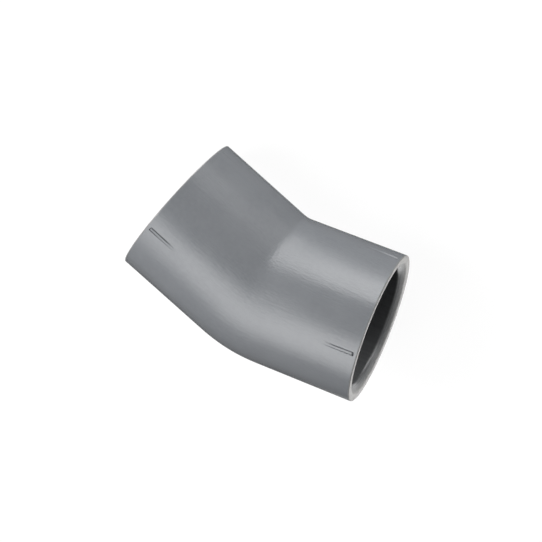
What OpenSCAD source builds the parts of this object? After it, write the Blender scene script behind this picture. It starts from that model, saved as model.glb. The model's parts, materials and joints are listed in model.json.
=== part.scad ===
// Solvent-weld socket elbow, 22.5 degrees, in rigid PVC.
// Millimetres. The inlet pipe stop is at the origin and the inlet runs out along -X.
// The bend lies in the XY plane and turns the outlet towards +Y.

/* [Pipe and sockets] */
// Outside diameter of the pipe that both sockets take
pipe_od = 42.16; // [40:0.01:45]
// Radial gap between the pipe and the socket bore
pipe_gap = 0.12; // [0.05:0.01:0.3]
// Depth of each socket, from its mouth to its pipe stop
socket_depth = 31.8; // [26:0.1:40]
// Wall thickness of a socket at its mouth
socket_wall = 5.5; // [4:0.1:7]
// Draft angle of the outside of each socket
draft = 0.2; // [0:0.05:0.5]

/* [Bend] */
// Angle between the inlet and outlet directions
bend_angle = 22.5; // [10:0.5:30]
// Distance from the crossing of the two axes to each pipe stop
lay_length = 10.4; // [9.6:0.1:16]
// Outer radius of the concave side of the bend
crotch_r = 4.5; // [1:0.1:5]
// Diameter of the water passage through the bend
passage_d = 36; // [30:0.5:38]

/* [Mouth] */
// Radial width of the lead-in chamfer inside the mouth
lead_in_w = 2.8; // [1:0.1:3]
// Length of the lead-in chamfer along the socket
lead_in_len = 2.2; // [1:0.1:4]
// Radius of the rounded outer edge of the mouth
edge_r = 0.5; // [0.2:0.1:0.9]

/* [Alignment marks] */
// Number of marks around each socket
mark_count = 4; // [2:1:8]
// Distance from the mouth to the deep end of a mark
mark_inset = 1.3; // [1:0.1:3]
// Length over which a mark runs out to nothing
mark_len = 11.5; // [6:0.5:16]
// Width of a mark at its deep end
mark_w = 1.3; // [0.8:0.1:2.5]
// Width of a mark where it runs out
mark_tip_w = 1; // [0.4:0.1:1.5]
// Depth of a mark at its deep end
mark_depth = 0.7; // [0.3:0.1:1.2]

/* [Hidden] */
$fn = 128;
edge_steps = 6;          // segments in the rounded edge of the mouth
proud = 1;               // how far a cutter stands clear of the surface it cuts
bore_r = pipe_od / 2 + pipe_gap;
passage_r = passage_d / 2;
mouth_r = bore_r + socket_wall;
mouth_s = lay_length + socket_depth;
// The bend's tube has the radius that the drafted socket reaches where the arc starts,
// and arc_s, the arc's tangent length, itself depends on that radius.
half_tan = tan(bend_angle / 2);
body_r = (mouth_r - (mouth_s - crotch_r * half_tan) * tan(draft)) / (1 - half_tan * tan(draft));
bend_r = body_r + crotch_r;
arc_s = bend_r * half_tan;
shell_color = [0.50, 0.52, 0.54];

// Outside radius of a leg at distance s from the crossing of the axes
function leg_r(s) = mouth_r - (mouth_s - s) * tan(draft);

// Puts a leg drawn up the local Z axis from the crossing of the axes in its place
module on_leg(heading) {
    translate([lay_length, 0, 0])
        rotate([0, 0, heading])
            rotate([0, 90, 0])
                children();
}

module on_inlet() { on_leg(180) children(); }
module on_outlet() { on_leg(bend_angle) children(); }

// Half section of a socket: x is the radius, y the distance from the crossing.
// The step from the passage out to the bore is the pipe stop.
module socket_section() {
    polygon(concat(
        [[passage_r, arc_s],
         [passage_r, lay_length],
         [bore_r, lay_length],
         [bore_r, mouth_s - lead_in_len],
         [bore_r + lead_in_w, mouth_s]],
        [for (i = [0 : edge_steps])
            let (a = 90 - 90 * i / edge_steps)
            [mouth_r - edge_r + edge_r * cos(a), mouth_s - edge_r + edge_r * sin(a)]],
        [[body_r, arc_s]]));
}

// Plan of a mark: a square deep end and straight sides that close in on its tip
module mark_plan() {
    polygon([[-mark_w / 2, 0], [mark_w / 2, 0],
             [mark_tip_w / 2, -mark_len], [-mark_tip_w / 2, -mark_len]]);
}

// Side view of a mark: its floor climbs to the surface at the tip
module mark_side() {
    tip_rise = leg_r(mouth_s - mark_inset - mark_len) - mouth_r;
    polygon([[-mark_depth, 0], [proud, 0], [proud, -mark_len], [tip_rise, -mark_len]]);
}

// Cutter for one mark, with its deep end at the local origin on the socket's surface
module mark_cutter() {
    intersection() {
        translate([-2 * mark_depth, 0, 0])
            rotate([90, 0, 90])
                linear_extrude(height = 2 * mark_depth + proud)
                    mark_plan();
        rotate([90, 0, 0])
            linear_extrude(height = 2 * mark_w, center = true)
                mark_side();
    }
}

// One socket, from the end of the bend to its mouth, with its alignment marks
module socket() {
    difference() {
        rotate_extrude()
            socket_section();
        for (i = [0 : mark_count - 1])
            rotate([0, 0, i * 360 / mark_count])
                translate([mouth_r, 0, mouth_s - mark_inset])
                    mark_cutter();
    }
}

module inlet_socket() {
    color(shell_color)
        on_inlet() socket();
}

module outlet_socket() {
    color(shell_color)
        on_outlet() socket();
}

// The bend between the sockets: a ring section swept round an arc that is tangent to both legs
module bend_body() {
    color(shell_color)
        translate([lay_length - arc_s, bend_r, 0])
            rotate([0, 0, -90])
                rotate_extrude(angle = bend_angle)
                    translate([bend_r, 0])
                        difference() {
                            circle(r = body_r);
                            circle(r = passage_r);
                        }
}

inlet_socket();
bend_body();
outlet_socket();
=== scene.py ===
import json
import math
from collections import namedtuple
from functools import lru_cache

import bpy
from mathutils import Matrix, Vector


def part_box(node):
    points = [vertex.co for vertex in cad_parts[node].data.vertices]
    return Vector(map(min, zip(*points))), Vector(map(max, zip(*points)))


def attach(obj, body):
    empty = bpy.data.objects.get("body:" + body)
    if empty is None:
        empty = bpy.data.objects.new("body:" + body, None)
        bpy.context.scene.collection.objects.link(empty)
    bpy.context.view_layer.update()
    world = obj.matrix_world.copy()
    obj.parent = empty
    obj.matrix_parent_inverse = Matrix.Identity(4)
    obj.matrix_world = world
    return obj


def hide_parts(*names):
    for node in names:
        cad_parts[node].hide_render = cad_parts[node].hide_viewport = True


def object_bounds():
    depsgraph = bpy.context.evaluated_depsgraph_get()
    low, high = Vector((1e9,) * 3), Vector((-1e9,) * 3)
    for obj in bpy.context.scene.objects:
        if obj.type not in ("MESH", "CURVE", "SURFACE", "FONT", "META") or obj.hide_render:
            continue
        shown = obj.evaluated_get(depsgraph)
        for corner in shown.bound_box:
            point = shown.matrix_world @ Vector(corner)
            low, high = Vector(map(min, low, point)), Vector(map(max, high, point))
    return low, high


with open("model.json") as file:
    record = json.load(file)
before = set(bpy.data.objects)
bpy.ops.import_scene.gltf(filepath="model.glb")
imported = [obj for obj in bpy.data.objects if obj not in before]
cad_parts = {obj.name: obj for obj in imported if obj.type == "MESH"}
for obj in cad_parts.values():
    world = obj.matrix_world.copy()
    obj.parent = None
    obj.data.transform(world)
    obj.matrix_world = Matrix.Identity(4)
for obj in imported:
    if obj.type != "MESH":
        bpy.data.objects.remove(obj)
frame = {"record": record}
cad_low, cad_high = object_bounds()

# A PVC elbow with a socket at each end. Three mesh shells stand for the three CAD nodes.

MM = 0.001

# ---------------------------------------------------------------- sizes taken from the frame

mounts = {m["name"]: m for m in frame["record"]["mounts"]}
outlet_pos = Vector(mounts["outlet_socket"]["pos_m"])
outlet_dir = Vector(mounts["outlet_socket"]["axis"])
bore_r = mounts["inlet_socket"]["dims"]["r_mm"] * MM
bore_len = mounts["inlet_socket"]["dims"]["length_mm"] * MM
socket_low, socket_high = (Vector(c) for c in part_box("inlet_socket"))
bend_high = Vector(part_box("bend_body")[1])

bend_angle = math.atan2(outlet_dir.y, outlet_dir.x)
lay_length = outlet_pos.y / math.sin(bend_angle)        # axes' crossing to either pipe stop
crossing = Vector((lay_length, 0, 0))
mouth_s = lay_length - socket_low.x                     # crossing to either mouth
arc_s = lay_length - socket_high.x                      # crossing to either end of the arc
mouth_r = socket_high.z
body_r = bend_high.z
half_turn = bend_angle / 2
bend_r = arc_s / math.tan(half_turn)                    # centreline radius of the bend
half_arc = bend_r * half_turn                           # along the centreline, middle to end of the arc
lead_in_len = mouth_s - lay_length - bore_len

# ---------------------------------------------------------------- sizes of the finer shapes

arc_ease = 2.5 * MM             # the turn eases in and out this far to either side of the arc's ends
passage_r = 18 * MM
lead_in_w = 2.8 * MM
edge_r = 0.35 * MM              # outer edge of the mouth
ring_edge_r = 2.2 * MM          # where the end ring turns into the lead-in
lead_in_edge_r = 1.0 * MM       # where the lead-in turns into the bore
stop_r = 0.6 * MM               # root of the pipe stop
stop_edge_r = 0.5 * MM          # lip of the pipe stop

mark_count = 4
mark_inset = 1.3 * MM           # mouth to the deep end of a mark
mark_len = 11.5 * MM
mark_w = 1.45 * MM              # between the tops of a mark's walls
mark_tip_w = 1.35 * MM
mark_depth = 0.5 * MM
mark_end_wall = 0.3 * MM        # width over which the wall at a mark's deep end drops
mark_pit_len = 0.7 * MM
mark_brow = 0.1                 # a wall starts to drop this share of its width outside its top

# How one mark differs from the next: its share of the full depth, the extra depth of the pit at its
# deep end, the widths over which its two side walls drop, and the painted shade from 0 to 1 on its
# two side walls and its end wall, a darkening in place of the shade that falls in its creases.
Mark = namedtuple("Mark", "share pit walls grime")
plain_mark = Mark(1, 0.1 * MM, (0.3 * MM, 0.3 * MM), (0.4, 0.4, 0.4))
plain_marks = (plain_mark,) * mark_count

# The marks of each leg: outside of the bend, +Z side, inside of the bend, -Z side.
inlet_marks = (
    plain_mark,
    Mark(0.85, 0, (0.24 * MM, 0.6 * MM), (0, 1, 0)),
    Mark(0.15, 0, (0.3 * MM, 0.3 * MM), (0, 0, 0)),
    plain_mark)
outlet_marks = (
    plain_mark,
    Mark(0.9, 0.3 * MM, (0.24 * MM, 0.5 * MM), (0, 0.8, 1)),
    Mark(1, 0, (0.3 * MM, 0.6 * MM), (0, 0, 0)),
    plain_mark)

seam_h = 0.012 * MM             # the mould's parting line
seam_half_w = 0.35 * MM

edge_wear = 0.50 * MM           # how far the scuffing of the end ring reaches over its outer edge
lead_in_wear = 1.6 * MM         # and down the lead-in

# ---------------------------------------------------------------- fineness of the meshes

straight_gap = 0.8 * MM         # between rows on a plain leg
arc_gap = 0.5 * MM              # between rows round the bend
ease_gap = 0.4 * MM             # where the turn eases out into a leg
mark_gap = 0.35 * MM            # along a mark
mouth_gap = 0.2 * MM            # between the marks and the mouth
deep_end_gap = 0.08 * MM        # at a mark's deep end
deep_end_reach = (0.9 * MM, 0.3 * MM)   # those rows' reach, away from the mouth and towards it
mark_lead = 0.5 * MM            # a mark's rows start this far before it
seam_gap = 0.1 * MM             # first row on either side of the joint between two shells
lining_gap = 0.9 * MM           # along the lead-in, the bore and the passage of a socket
end_face_gap = 2.5 * MM         # between rows on the hidden faces where the shells meet
mark_fine_half = 1.05 * MM      # half widths round a mark that get fine and middling columns
mark_near_half = 1.9 * MM
fine_column = 0.075 * MM        # from one column to the next
near_column = 0.2 * MM
plain_column = math.radians(1.5)        # between the marks
fillet_turn = math.radians(6)   # of an outline's fillet, from point to point
fillet_points = 4               # at the least
edge_stop = 1.05                # the outside's last row stops this many edge radii from the mouth
centreline_steps = 60           # in which section_at walks along the centreline
sharp_turn = math.radians(40)   # faces that meet more sharply than this are shaded apart


# ---------------------------------------------------------------- mesh helpers

def spread(start, end, step):
    """Evenly spaced values from start to end, no further apart than step, without the end."""
    count = max(1, math.ceil(abs(end - start) / step - 1e-6))
    return [start + (end - start) * i / count for i in range(count)]


def smooth(x):
    """0 below 0, 1 above 1 and an easy curve between."""
    x = min(1.0, max(0.0, x))
    return x * x * (3 - 2 * x)


def rounded(corners):
    """An outline of (r, s) points from corners (r, s, fillet radius), with each fillet as a fine arc."""
    points = []
    for i, (r, s, radius) in enumerate(corners):
        here = Vector((r, s))
        if radius == 0 or i == 0 or i == len(corners) - 1:
            points.append(here)
            continue
        before = (Vector(corners[i - 1][:2]) - here).normalized()
        after = (Vector(corners[i + 1][:2]) - here).normalized()
        half = before.angle(after) / 2
        reach = radius / math.tan(half)
        centre = here + (before + after).normalized() * radius / math.sin(half)
        first = here + before * reach - centre
        turn = first.angle_signed(here + after * reach - centre)
        steps = max(fillet_points, math.ceil(abs(turn) / fillet_turn))
        for k in range(steps + 1):
            points.append(centre + Matrix.Rotation(-turn * k / steps, 2) @ first)
    return points


def filled(points, step):
    """The same outline with extra points, so that none are further apart than step."""
    out = []
    for a, b in zip(points, points[1:]):
        out += [a.lerp(b, f) for f in spread(0, 1, step / max((b - a).length, 1e-9))]
    return out + [points[-1]]


def column_angles():
    """Angles round a section, close together across each mark and wider between the marks."""
    quarter = 2 * math.pi / mark_count
    fine = mark_fine_half / mouth_r
    near = mark_near_half / mouth_r
    angles = []
    for i in range(mark_count):
        middle = i * quarter
        angles += [middle + a for a in spread(-near, -fine, near_column / mouth_r)]
        angles += [middle + a for a in spread(-fine, fine, fine_column / mouth_r)]
        angles += [middle + a for a in spread(fine, near, near_column / mouth_r)]
        angles += [middle + a for a in spread(near, quarter - near, plain_column)]
    return angles


def turn_at(along):
    """How far the centreline has turned at a distance along it from the middle of the bend."""
    left = half_arc + arc_ease - abs(along)
    turn = min(abs(along) / bend_r, half_turn)
    if 0 < left < 2 * arc_ease:
        turn = half_turn - left * left / (4 * arc_ease * bend_r)
    return math.copysign(turn, along)


def forward_at(along):
    heading = half_turn + turn_at(along)
    return Vector((math.cos(heading), math.sin(heading), 0))


@lru_cache(maxsize=None)
def section_at(along):
    """Centre and outward direction of the section at a distance from the middle of the bend."""
    step = along / centreline_steps
    middle_outward = Vector((math.sin(half_turn), -math.cos(half_turn), 0))
    centre = Vector((lay_length - arc_s, bend_r, 0)) + middle_outward * bend_r
    for i in range(centreline_steps):
        centre += forward_at((i + 0.5) * step) * step
    forward = forward_at(along)
    return centre, Vector((forward.y, -forward.x, 0))


def bent(place):
    """Where a point of the straight, unrolled elbow lies. A place is (outward in the bend's plane,
    square to that plane, along the centreline from the middle of the bend)."""
    centre, outward = section_at(place.z)
    return centre + outward * place.x + Vector((0, 0, place.y))


# A row is a ring round the centreline: its radius, its place along the centreline, how far from the
# mouth it lies if marks and parting line can be on it (else None), and its two finishes from 0 to 1.
Row = namedtuple("Row", "r along from_mouth scuffed inside")


def row_points(row, angles, marks):
    """A row's vertices as (unrolled place, finish and painted shade), with marks and parting line where
    they belong.
    A finish is (scuffed, inside, painted shade), the last a darkening in place of shade in a mark's
    creases."""
    quarter = 2 * math.pi / mark_count
    points = []
    for angle in angles:
        r = row.r
        grime = 0
        if row.from_mouth is not None:
            nearest = round(angle / quarter)
            across = (angle - nearest * quarter) * r
            depth, grime = mark_shape(marks[nearest % mark_count], across, row.from_mouth - mark_inset)
            r -= depth
            if nearest % 2 == 1:
                r += seam_rise(across) * smooth(row.from_mouth / mark_inset - 0.5)
        place = Vector((r * math.cos(angle), r * math.sin(angle), row.along))
        points.append((place, (row.scuffed, row.inside, grime)))
    return points


def closed_mesh(name, rows, material, marks):
    """A closed solid from its rows, where the last row joins the first."""
    angles = column_angles()
    columns = len(angles)
    points = [point for row in rows for point in row_points(row, angles, marks)]
    faces = []
    for i in range(len(rows)):
        j = (i + 1) % len(rows)
        for k in range(columns):
            m = (k + 1) % columns
            faces.append((i * columns + k, i * columns + m, j * columns + m, j * columns + k))
    mesh = bpy.data.meshes.new(name)
    mesh.from_pydata([bent(place) for place, _ in points], [], faces)
    mesh.materials.append(material)
    mesh.shade_smooth()
    mesh.set_sharp_from_angle(angle=sharp_turn)

    unrolled = mesh.attributes.new("unrolled", "FLOAT_VECTOR", "POINT")
    # Per vertex: scuffed, inside, and the shade painted into the marks' creases.
    finish_and_shade = mesh.attributes.new("finish_and_shade", "FLOAT_VECTOR", "POINT")
    for i, (place, finishes_and_shade) in enumerate(points):
        unrolled.data[i].vector = place / MM
        finish_and_shade.data[i].vector = finishes_and_shade
    mesh.update()
    piece = bpy.data.objects.new(name, mesh)
    bpy.context.scene.collection.objects.link(piece)
    return piece


# ---------------------------------------------------------------- the fitting

def mark_shape(mark, across, from_end):
    """Depth of an alignment mark, and the shade painted into it, at a distance across it and from its
    deep end.
    """
    half = (mark_w + (mark_tip_w - mark_w) * from_end / mark_len) / 2
    side = 1 if across > 0 else 0
    down_side = (half - abs(across)) / mark.walls[side]
    down_end = from_end / mark_end_wall
    down = min(down_side, down_end)
    if down_side < 1 and down_end < 1:
        down = 1 - math.hypot(1 - down_side, 1 - down_end)
    left = max(0.0, 1 - from_end / mark_len)

    # The pit is level over the first half of its length and climbs out over the rest.
    floor = mark.share * mark_depth * left + mark.pit * smooth(2 * (1 - from_end / mark_pit_len))
    depth = floor * smooth(down + mark_brow)

    # Painted shade is full halfway down a wall, and thins out over the far half of the mark.
    on_wall = smooth(1.5 - abs(2 * down - 1))
    near_end = smooth(1.5 - down_end)
    side_shade, end_shade = mark.grime[side], mark.grime[2]
    grime = side_shade + (end_shade - side_shade) * near_end
    return depth, grime * smooth(2 * left) * on_wall


def seam_rise(across):
    """Height of the parting line at a distance from its middle."""
    return seam_h * smooth(1 - abs(across) / seam_half_w)


def socket_outside():
    """Rows down the outside of a socket, from the bend to the edge of the mouth, as (r, s)."""
    before, after = deep_end_reach
    deep_start = mouth_s - mark_inset - before
    deep_end = mouth_s - mark_inset + after
    mark_start = mouth_s - mark_inset - mark_len - mark_lead
    ease_end = arc_s + arc_ease
    stations = [arc_s]
    stations += spread(arc_s + seam_gap, ease_end, ease_gap)
    stations += spread(ease_end, mark_start, straight_gap)
    stations += spread(mark_start, deep_start, mark_gap)
    stations += spread(deep_start, deep_end, deep_end_gap)
    stations += spread(deep_end, mouth_s - edge_r * edge_stop, mouth_gap)
    taper = (mouth_r - body_r) / (mouth_s - arc_s)
    return [(mouth_r - (mouth_s - s) * taper, s) for s in stations]


def socket_lining(end_r, end_s):
    """Points over the end ring, down the lead-in and the bore and past the pipe stop, as (r, s)."""
    outline = rounded([
        (end_r, end_s, 0),
        (mouth_r, mouth_s, edge_r),
        (bore_r + lead_in_w, mouth_s, ring_edge_r),
        (bore_r, mouth_s - lead_in_len, lead_in_edge_r),
        (bore_r, lay_length, stop_r),
        (passage_r, lay_length, stop_edge_r),
        (passage_r, arc_s, 0),
    ])
    return filled(outline[1:], lining_gap)


def build_socket(name, side, material, marks):
    """One socket: side is -1 on the inlet's leg and 1 on the outlet's."""
    def along(s):
        return side * (s - arc_s + half_arc)

    rows = []
    outside = socket_outside()
    for r, s in outside:
        from_mouth = mouth_s - s
        rows.append(Row(r, along(s), from_mouth, 0, 0))
    for r, s in socket_lining(*outside[-1]):
        from_mouth = mouth_s - s
        is_inside = r < bore_r + lead_in_w + MM     # and not on the outer edge of the mouth
        scuffed = smooth(1 - from_mouth / (lead_in_wear if is_inside else edge_wear))
        inside = smooth(from_mouth / lead_in_wear) if is_inside else 0
        rows.append(Row(r, along(s), None, scuffed, inside))
    for r in spread(passage_r, body_r, end_face_gap)[1:]:
        rows.append(Row(r, along(arc_s), None, 0, 1))
    if side < 0:
        rows.reverse()
    return closed_mesh(name, rows, material, marks)


def build_bend(name, material):
    """The curved body: its outer skin from inlet to outlet, then the passage wall back again."""
    near_end = half_arc - seam_gap
    stations = [-half_arc] + spread(-near_end, near_end, arc_gap) + [near_end, half_arc]
    steps = spread(body_r, passage_r, end_face_gap)[1:]
    # Its skin counts as a whole leg away from a mouth, out of reach of the marks.
    rows = [Row(body_r, along, mouth_s, 0, 0) for along in stations]
    rows += [Row(r, half_arc, None, 0, 1) for r in steps]
    rows += [Row(passage_r, along, None, 0, 1) for along in reversed(stations)]
    rows += [Row(r, -half_arc, None, 0, 1) for r in reversed(steps)]
    return closed_mesh(name, rows, material, plain_marks)


# ---------------------------------------------------------------- materials

# Colours are linear.
skin_colours = ((0.152, 0.160, 0.171, 1), (0.168, 0.176, 0.187, 1))
mottle_colour = (0.178, 0.186, 0.197, 1)
mottle_share = 0.35
lining_colours = ((0.130, 0.134, 0.138, 1), (0.152, 0.156, 0.160, 1))
cut_colours = ((0.204, 0.200, 0.193, 1), (0.250, 0.245, 0.237, 1))
# Painted shade: the dark colour laid into the marks' creases in place of the shade that falls there.
painted_shade_colour = (0.060, 0.062, 0.066, 1)

skin_roughness = (0.175, 0.205)         # from cloud to cloud
bend_roughness = 0.055                  # added round the bend
lining_roughness = 0.26
cut_roughness = 0.55
# Roughness where shade is painted into the marks' creases.
painted_shade_roughness = 0.6
pvc_ior = 1.5
plain_specular = 0.5                    # specular level of plain skin and lining
dull_specular = 0.1                     # and of scuffed places and where shade is painted into the marks

height_unit = 0.006 * MM                # of the surface heights below
flow_heights = (3.5, 5.5)               # on the legs, round the bend
skin_mottle_height = 0.4
draw_height = 1.2
cut_speckle_height = 2.5
cut_mottle_height = 4.0

bend_reach = (24.0, 6.0)                # in mm from the bend's middle: its finish starts, is full

# Noise scales, per millimetre of the unrolled elbow. Flow and draw lines are stretched along a leg.
cloud_scale = 0.06
mottle_scale = 0.7
speckle_scale = 2.2
flow_scale = 1.5
flow_stretch = (1.0, 1.0, 0.28)
draw_scale = 0.8
draw_stretch = (1.0, 1.0, 0.03)

white = (1, 1, 1, 1)
paper_colours = ((0.066, 0.066, 0.066, 1), (0.070, 0.070, 0.070, 1))
paper_grain = 900.0                     # noise scale, per metre
paper_glow = 0.95


class Nodes:
    """A short way to write a node tree."""

    def __init__(self, tree):
        self.tree = tree
        tree.nodes.clear()

    def add(self, kind, inputs=None, **settings):
        node = self.tree.nodes.new(kind)
        for key, value in settings.items():
            setattr(node, key, value)
        for key, value in (inputs or {}).items():
            if isinstance(value, bpy.types.NodeSocket):
                self.tree.links.new(value, node.inputs[key])
            else:
                node.inputs[key].default_value = value
        return node

    def stretch(self, vector, scale):
        """The vector with each axis scaled on its own."""
        return self.add("ShaderNodeVectorMath", {0: vector, 1: scale}, operation="MULTIPLY").outputs[0]

    def noise(self, vector, scale, detail=2.0, low=0.35, high=0.65):
        """Noise spread over 0 to 1, where low and high are the raw values that become 0 and 1."""
        raw = self.add("ShaderNodeTexNoise", {"Vector": vector, "Scale": scale, "Detail": detail})
        return self.remap(raw.outputs["Fac"], low, high, 0, 1)

    def remap(self, value, from_min, from_max, to_min, to_max):
        node = self.add("ShaderNodeMapRange", {
            "Value": value, "From Min": from_min, "From Max": from_max,
            "To Min": to_min, "To Max": to_max})
        return node.outputs["Result"]

    def fade(self, value, start, end):
        """1 in the middle of 0 to 1, easing down to 0 over the given widths at its two ends."""
        def ramp(x, width):
            node = self.add("ShaderNodeMapRange", {"Value": x, "From Min": 0.0, "From Max": width},
                            interpolation_type="SMOOTHSTEP")
            return node.outputs["Result"]
        return self.math("MULTIPLY", ramp(value, start), ramp(self.math("SUBTRACT", 1.0, value), end))

    def math(self, operation, a, b):
        return self.add("ShaderNodeMath", {0: a, 1: b}, operation=operation).outputs[0]

    def mix(self, factor, a, b):
        """a where the factor is 0, b where it is 1."""
        node = self.add("ShaderNodeMix", {"Factor": factor, 2: a, 3: b}, data_type="FLOAT")
        return node.outputs[0]

    def mix_colour(self, factor, a, b):
        node = self.add("ShaderNodeMix", {"Factor": factor, "A": a, "B": b}, data_type="RGBA")
        return node.outputs["Result"]


def new_material(name):
    material = bpy.data.materials.new(name)
    material.use_nodes = True
    return material


Patterns = namedtuple("Patterns", "clouds mottle speckle flow_lines draw_lines")
FinishAndShade = namedtuple("FinishAndShade", "scuffed inside grime at_bend")


def pvc_patterns(n, place):
    """The patterns on the elbow, where place is a point of the unrolled elbow in millimetres."""
    along_flow = n.stretch(place, flow_stretch)
    along_draw = n.stretch(place, draw_stretch)
    return Patterns(
        clouds=n.noise(place, cloud_scale, detail=4.0),
        mottle=n.noise(place, mottle_scale, detail=3.0),
        speckle=n.noise(place, speckle_scale, detail=2.0),
        flow_lines=n.noise(along_flow, flow_scale, detail=3.0),
        draw_lines=n.noise(along_draw, draw_scale, detail=3.0))


def pvc_finish_and_shade(n, place):
    """Where the surface is scuffed, inside a socket or near the bend, and where shade is painted into a
    mark's creases.
    """
    finish_and_shade = n.add("ShaderNodeAttribute", attribute_name="finish_and_shade").outputs["Vector"]
    split = n.add("ShaderNodeSeparateXYZ", {0: finish_and_shade})
    along = n.add("ShaderNodeSeparateXYZ", {0: place}).outputs["Z"]
    from_bend = n.math("ABSOLUTE", along, 0.0)
    start, full = bend_reach
    return FinishAndShade(
        scuffed=split.outputs["X"],
        inside=split.outputs["Y"],
        grime=split.outputs["Z"],
        at_bend=n.remap(from_bend, start, full, 0, 1))


def pvc_colour(n, patterns, finish_and_shade):
    moulded = n.mix_colour(patterns.clouds, *skin_colours)
    moulded = n.mix_colour(n.math("MULTIPLY", patterns.mottle, mottle_share), moulded, mottle_colour)
    # Painted shade: the marks' creases are darkened towards a dark colour.
    moulded = n.mix_colour(finish_and_shade.grime, moulded, painted_shade_colour)
    lining = n.mix_colour(patterns.draw_lines, *lining_colours)
    cut = n.mix_colour(patterns.mottle, *cut_colours)
    return n.mix_colour(finish_and_shade.scuffed, n.mix_colour(finish_and_shade.inside, moulded, lining), cut)


def pvc_roughness(n, patterns, finish_and_shade):
    skin = n.remap(patterns.clouds, 0, 1, *skin_roughness)
    skin = n.math("ADD", skin, n.math("MULTIPLY", finish_and_shade.at_bend, bend_roughness))
    skin = n.mix(finish_and_shade.grime, skin, painted_shade_roughness)
    return n.mix(finish_and_shade.scuffed, n.mix(finish_and_shade.inside, skin, lining_roughness), cut_roughness)


def pvc_height(n, patterns, finish_and_shade):
    """Fine relief, in height units."""
    flow = n.math("MULTIPLY", patterns.flow_lines, n.remap(finish_and_shade.at_bend, 0, 1, *flow_heights))
    skin = n.math("ADD", flow, n.math("MULTIPLY", patterns.mottle, skin_mottle_height))
    lining = n.math("MULTIPLY", patterns.draw_lines, draw_height)
    cut = n.math("ADD", n.math("MULTIPLY", patterns.speckle, cut_speckle_height),
                 n.math("MULTIPLY", patterns.mottle, cut_mottle_height))
    return n.mix(finish_and_shade.scuffed, n.mix(finish_and_shade.inside, skin, lining), cut)


def pvc_material():
    """Moulded grey PVC, with finishes of its own for the lining and the scuffed ring, and shade painted
    into the marks' creases.
    """
    material = new_material("grey_pvc")
    n = Nodes(material.node_tree)
    place = n.add("ShaderNodeAttribute", attribute_name="unrolled").outputs["Vector"]
    patterns = pvc_patterns(n, place)
    finish_and_shade = pvc_finish_and_shade(n, place)
    bump = n.add("ShaderNodeBump", {
        "Height": pvc_height(n, patterns, finish_and_shade), "Strength": 1.0, "Distance": height_unit})
    # Scuffed places reflect less, and so do the marks' creases where shade is painted.
    dulled = n.math("MAXIMUM", finish_and_shade.scuffed, finish_and_shade.grime)
    shader = n.add("ShaderNodeBsdfPrincipled", {
        "Base Color": pvc_colour(n, patterns, finish_and_shade),
        "Roughness": pvc_roughness(n, patterns, finish_and_shade),
        "IOR": pvc_ior,
        "Specular IOR Level": n.mix(dulled, plain_specular, dull_specular),
        "Normal": bump.outputs["Normal"]})
    n.add("ShaderNodeOutputMaterial", {"Surface": shader.outputs["BSDF"]})
    return material


def floor_material():
    """Seamless white paper, lit mostly by itself so that only a faint shadow shows on it. From
    below it is clear, so that the underside of the elbow can be seen."""
    material = new_material("white_paper")
    n = Nodes(material.node_tree)
    grain = n.noise(n.add("ShaderNodeTexCoord").outputs["Object"], paper_grain)
    tone = n.mix_colour(grain, *paper_colours)
    paper = n.add("ShaderNodeBsdfDiffuse", {"Color": tone})
    glow = n.add("ShaderNodeEmission", {"Color": white, "Strength": paper_glow})
    both = n.add("ShaderNodeAddShader", {0: paper.outputs[0], 1: glow.outputs[0]})
    from_below = n.add("ShaderNodeNewGeometry").outputs["Backfacing"]
    clear = n.add("ShaderNodeBsdfTransparent")
    sheet = n.add("ShaderNodeMixShader", {0: from_below, 1: both.outputs[0], 2: clear.outputs[0]})
    n.add("ShaderNodeOutputMaterial", {"Surface": sheet.outputs[0]})
    return material


# ---------------------------------------------------------------- stage, lights and camera

# Where the camera stands as seen from the fitting, and how far it is rolled, in degrees.
view_azimuth = 84.51
view_elevation = 63.06
view_roll = -133.32
view_turn = (Matrix.Rotation(math.radians(view_azimuth), 3, "Z")
             @ Matrix.Rotation(math.radians(-view_elevation), 3, "Y")
             @ Matrix.Rotation(math.radians(view_roll), 3, "X"))
view_back, view_right, view_up = view_turn.transposed()

# Each box's direction from the fitting as the camera sees it, its size in metres, its roll in
# degrees, its power in watts, and the shares of it over which its light fades out towards its left,
# right, low and high edges. Some boxes stand under the floor, which casts no shadow: theirs is the
# light that white paper throws back up.
SoftBox = namedtuple("SoftBox", "name right up back width height roll power fades")
soft_boxes = [
    SoftBox("key", 0.0, 0.85, 0.5, 0.35, 0.6, -20, 3.6, (0.7, 0.2, 0.1, 0.6)),
    SoftBox("key_left", -0.75, 0.0, 0.65, 0.4, 0.3, 20, 5.0, (0.1, 0.3, 0.2, 0.1)),
    SoftBox("top", -0.1, 1.0, 0.0, 0.2, 0.2, 75, 5.2, (0.3, 0.3, 0.2, 0.1)),
    SoftBox("top_right", 0.35, 0.85, 0.4, 0.5, 0.35, -50, 0.5, (0.05, 0.05, 0.05, 0.05)),
    SoftBox("low_left", -0.6, -0.65, 0.5, 0.45, 1.0, -10, 6.8, (0.5, 0.2, 0.5, 0.4)),
    SoftBox("floor_bounce", 0.45, -0.35, -0.85, 0.5, 0.75, 55, 1.8, (0.4, 0.4, 0.1, 0.2)),
    SoftBox("low_right", 0.75, -0.35, -0.55, 0.2, 0.25, 0, 5.0, (0.3, 0.3, 0.1, 0.05)),
    SoftBox("right_front", 0.9, 0.4, 0.1, 0.2, 0.75, 75, 2.7, (0.1, 0.05, 0.1, 0.4)),
]
light_distance = 0.6                    # in metres
fill_strength = 0.06
backdrop_strength = 0.92
floor_half_size = 3.0
floor_gap = 0.05 * MM
camera_sensor = 36.0                    # in millimetres, as the lens is
camera_lens = 128.1
camera_distance = 667.3 * MM
aim_right = 1.28 * MM                   # from the crossing of the axes to where the camera looks
aim_up = 4.66 * MM


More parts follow.
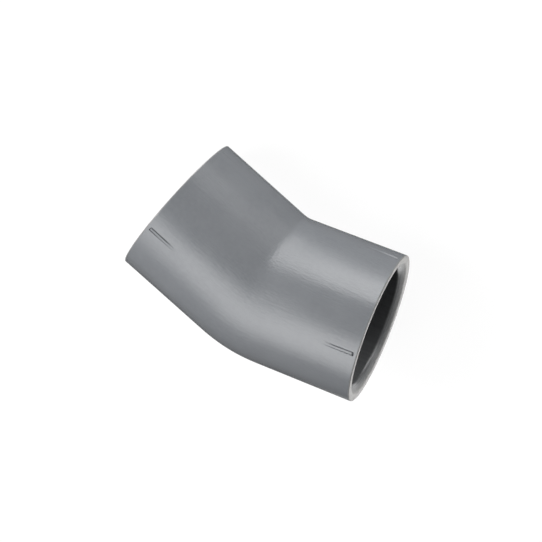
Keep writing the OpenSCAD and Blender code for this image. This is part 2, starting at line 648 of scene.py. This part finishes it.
def make_floor():
    size = floor_half_size
    mesh = bpy.data.meshes.new("floor")
    z = cad_low[2] - floor_gap
    mesh.from_pydata([(-size, -size, z), (size, -size, z), (size, size, z), (-size, size, z)],
                     [], [(0, 1, 2, 3)])
    mesh.materials.append(floor_material())
    floor = bpy.data.objects.new("floor", mesh)
    bpy.context.scene.collection.objects.link(floor)
    floor.visible_glossy = False
    floor.visible_diffuse = False
    floor.visible_shadow = False


def make_soft_box(box):
    """A soft box that faces the crossing of the axes from its direction."""
    light = bpy.data.lights.new(box.name, "AREA")
    light.shape = "RECTANGLE"
    light.size = box.width
    light.size_y = box.height
    light.energy = box.power
    light.use_nodes = True
    n = Nodes(light.node_tree)
    spot = n.add("ShaderNodeNewGeometry").outputs["Parametric"]
    split = n.add("ShaderNodeSeparateXYZ", {0: spot})
    left, right, low, high = box.fades
    across = n.fade(split.outputs["X"], left, right)
    upwards = n.fade(split.outputs["Y"], low, high)
    strength = n.math("MULTIPLY", across, upwards)
    glow = n.add("ShaderNodeEmission", {"Color": white, "Strength": strength})
    n.add("ShaderNodeOutputLight", {"Surface": glow.outputs[0]})
    lamp = bpy.data.objects.new(box.name, light)
    away = (view_right * box.right + view_up * box.up + view_back * box.back).normalized()
    sideways = (view_right - away * view_right.dot(away)).normalized()
    level = Matrix((sideways, away.cross(sideways), away)).transposed()
    turned = level @ Matrix.Rotation(math.radians(box.roll), 3, "Z")
    lamp.matrix_world = Matrix.Translation(crossing + away * light_distance) @ turned.to_4x4()
    lamp.visible_camera = False
    bpy.context.scene.collection.objects.link(lamp)


def make_world():
    """A dim even fill on the elbow, and nearly white where the camera looks past the floor."""
    world = bpy.data.worlds.new("studio")
    world.use_nodes = True
    n = Nodes(world.node_tree)
    seen = n.add("ShaderNodeLightPath").outputs["Is Camera Ray"]
    strength = n.mix(seen, fill_strength, backdrop_strength)
    background = n.add("ShaderNodeBackground", {"Color": white, "Strength": strength})
    n.add("ShaderNodeOutputWorld", {"Surface": background.outputs[0]})
    bpy.context.scene.world = world


def make_camera():
    camera = bpy.data.cameras.new("camera")
    camera.sensor_width = camera_sensor
    camera.lens = camera_lens
    camera.clip_start = 0.01
    rig = bpy.data.objects.new("camera", camera)
    aim = crossing + view_right * aim_right + view_up * aim_up
    axes = Matrix((view_right, view_up, view_back)).transposed()
    rig.matrix_world = Matrix.Translation(aim + view_back * camera_distance) @ axes.to_4x4()
    bpy.context.scene.collection.objects.link(rig)
    bpy.context.scene.camera = rig


pvc = pvc_material()
inlet = build_socket("inlet_socket_shell", -1, pvc, inlet_marks)
outlet = build_socket("outlet_socket_shell", 1, pvc, outlet_marks)
bend = build_bend("bend_body_shell", pvc)
for piece, node in ((inlet, "inlet_socket"), (outlet, "outlet_socket"), (bend, "bend_body")):
    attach(piece, "root")
    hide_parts(node)

make_floor()
for box in soft_boxes:
    make_soft_box(box)
make_world()
make_camera()
bpy.context.scene.view_settings.view_transform = "Standard"
